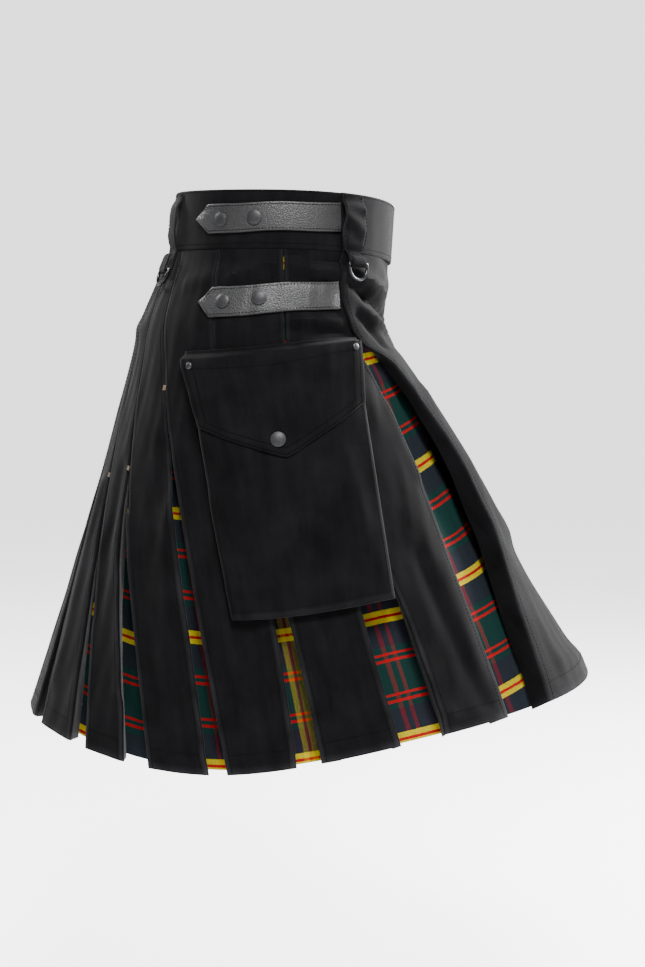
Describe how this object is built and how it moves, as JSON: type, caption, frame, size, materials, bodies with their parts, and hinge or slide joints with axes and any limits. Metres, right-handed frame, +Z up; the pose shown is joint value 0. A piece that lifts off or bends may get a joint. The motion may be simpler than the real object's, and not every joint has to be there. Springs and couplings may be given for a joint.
{
  "type": "hybrid utility kilt",
  "caption": "Knee-length utility kilt in black cotton drill with tartan pleat insets, flat front apron, hip pockets, leather side straps and D-rings, worn form, open at waist and hem.",
  "frame": {"origin": "centre of the waist at the waistband's upper edge, where the wearer's waist holds the kilt up", "axes": "+Z up, -Y the wearer's front, -X the wearer's right"},
  "size_m": [0.522, 0.6415, 0.6142],
  "materials": {
    "drill": "black cotton drill, matt, fine twill",
    "tartan": "woven tartan in green, navy, black, yellow and red, matt",
    "leather": "black grained leather, low sheen, stitched edge",
    "steel": "bright nickel plate, lightly worn"
  },
  "bodies": {
    "kilt": {"waistband": "drill", "outer_apron": "drill", "under_apron": "drill", "panel_1_right": "drill", "inset_1_right": "tartan", "panel_2_right": "drill", "inset_2_right": "tartan", "panel_3_right": "drill", "inset_3_right": "tartan", "panel_4_right": "drill", "inset_4_right": "tartan", "panel_5_right": "drill", "inset_5_right": "tartan", "panel_6_right": "drill", "inset_6_right": "tartan", "panel_7_right": "drill", "inset_7_right": "tartan", "panel_1_left": "drill", "inset_1_left": "tartan", "panel_2_left": "drill", "inset_2_left": "tartan", "panel_3_left": "drill", "inset_3_left": "tartan", "panel_4_left": "drill", "inset_4_left": "tartan", "panel_5_left": "drill", "inset_5_left": "tartan", "panel_6_left": "drill", "inset_6_left": "tartan", "panel_7_left": "drill", "inset_7_left": "tartan", "inset_back": "tartan", "waist_strap_right": "leather", "waist_strap_left": "leather", "hip_strap_right": "leather", "hip_strap_left": "leather", "waist_snap_1_right": "steel", "waist_snap_1_left": "steel", "waist_snap_2_right": "steel", "waist_snap_2_left": "steel", "hip_snap_1_right": "steel", "hip_snap_1_left": "steel", "hip_snap_2_right": "steel", "hip_snap_2_left": "steel", "pocket_right": "drill", "pocket_left": "drill", "pocket_flap_right": "drill", "pocket_flap_left": "drill", "pocket_snap_right": "steel", "pocket_snap_left": "steel", "loop_front_right": "drill", "loop_front_left": "drill", "loop_back_right": "drill", "loop_back_left": "drill"},
    "ring_front_right_body": {"ring_front_right": "steel"},
    "ring_front_left_body": {"ring_front_left": "steel"},
    "ring_back_right_body": {"ring_back_right": "steel"},
    "ring_back_left_body": {"ring_back_left": "steel"}
  },
  "joints": [
    {"name": "ring_front_right_swing", "type": "hinge", "parent": "kilt", "child": "ring_front_right_body", "pos_m": [-0.12927, -0.08324, -0.07843], "axis": [-0.6863, 0.7271, 0.0151], "range_deg": [0, 90]},
    {"name": "ring_front_left_swing", "type": "hinge", "parent": "kilt", "child": "ring_front_left_body", "pos_m": [0.12927, -0.08324, -0.07843], "axis": [-0.6863, -0.7271, -0.0151], "range_deg": [0, 90]},
    {"name": "ring_back_right_swing", "type": "hinge", "parent": "kilt", "child": "ring_back_right_body", "pos_m": [-0.07454, 0.12735, -0.08199], "axis": [0.8875, 0.4602, -0.0244], "range_deg": [0, 90]},
    {"name": "ring_back_left_swing", "type": "hinge", "parent": "kilt", "child": "ring_back_left_body", "pos_m": [0.07454, 0.12735, -0.08199], "axis": [0.8875, -0.4602, 0.0244], "range_deg": [0, 90]}
  ]
}
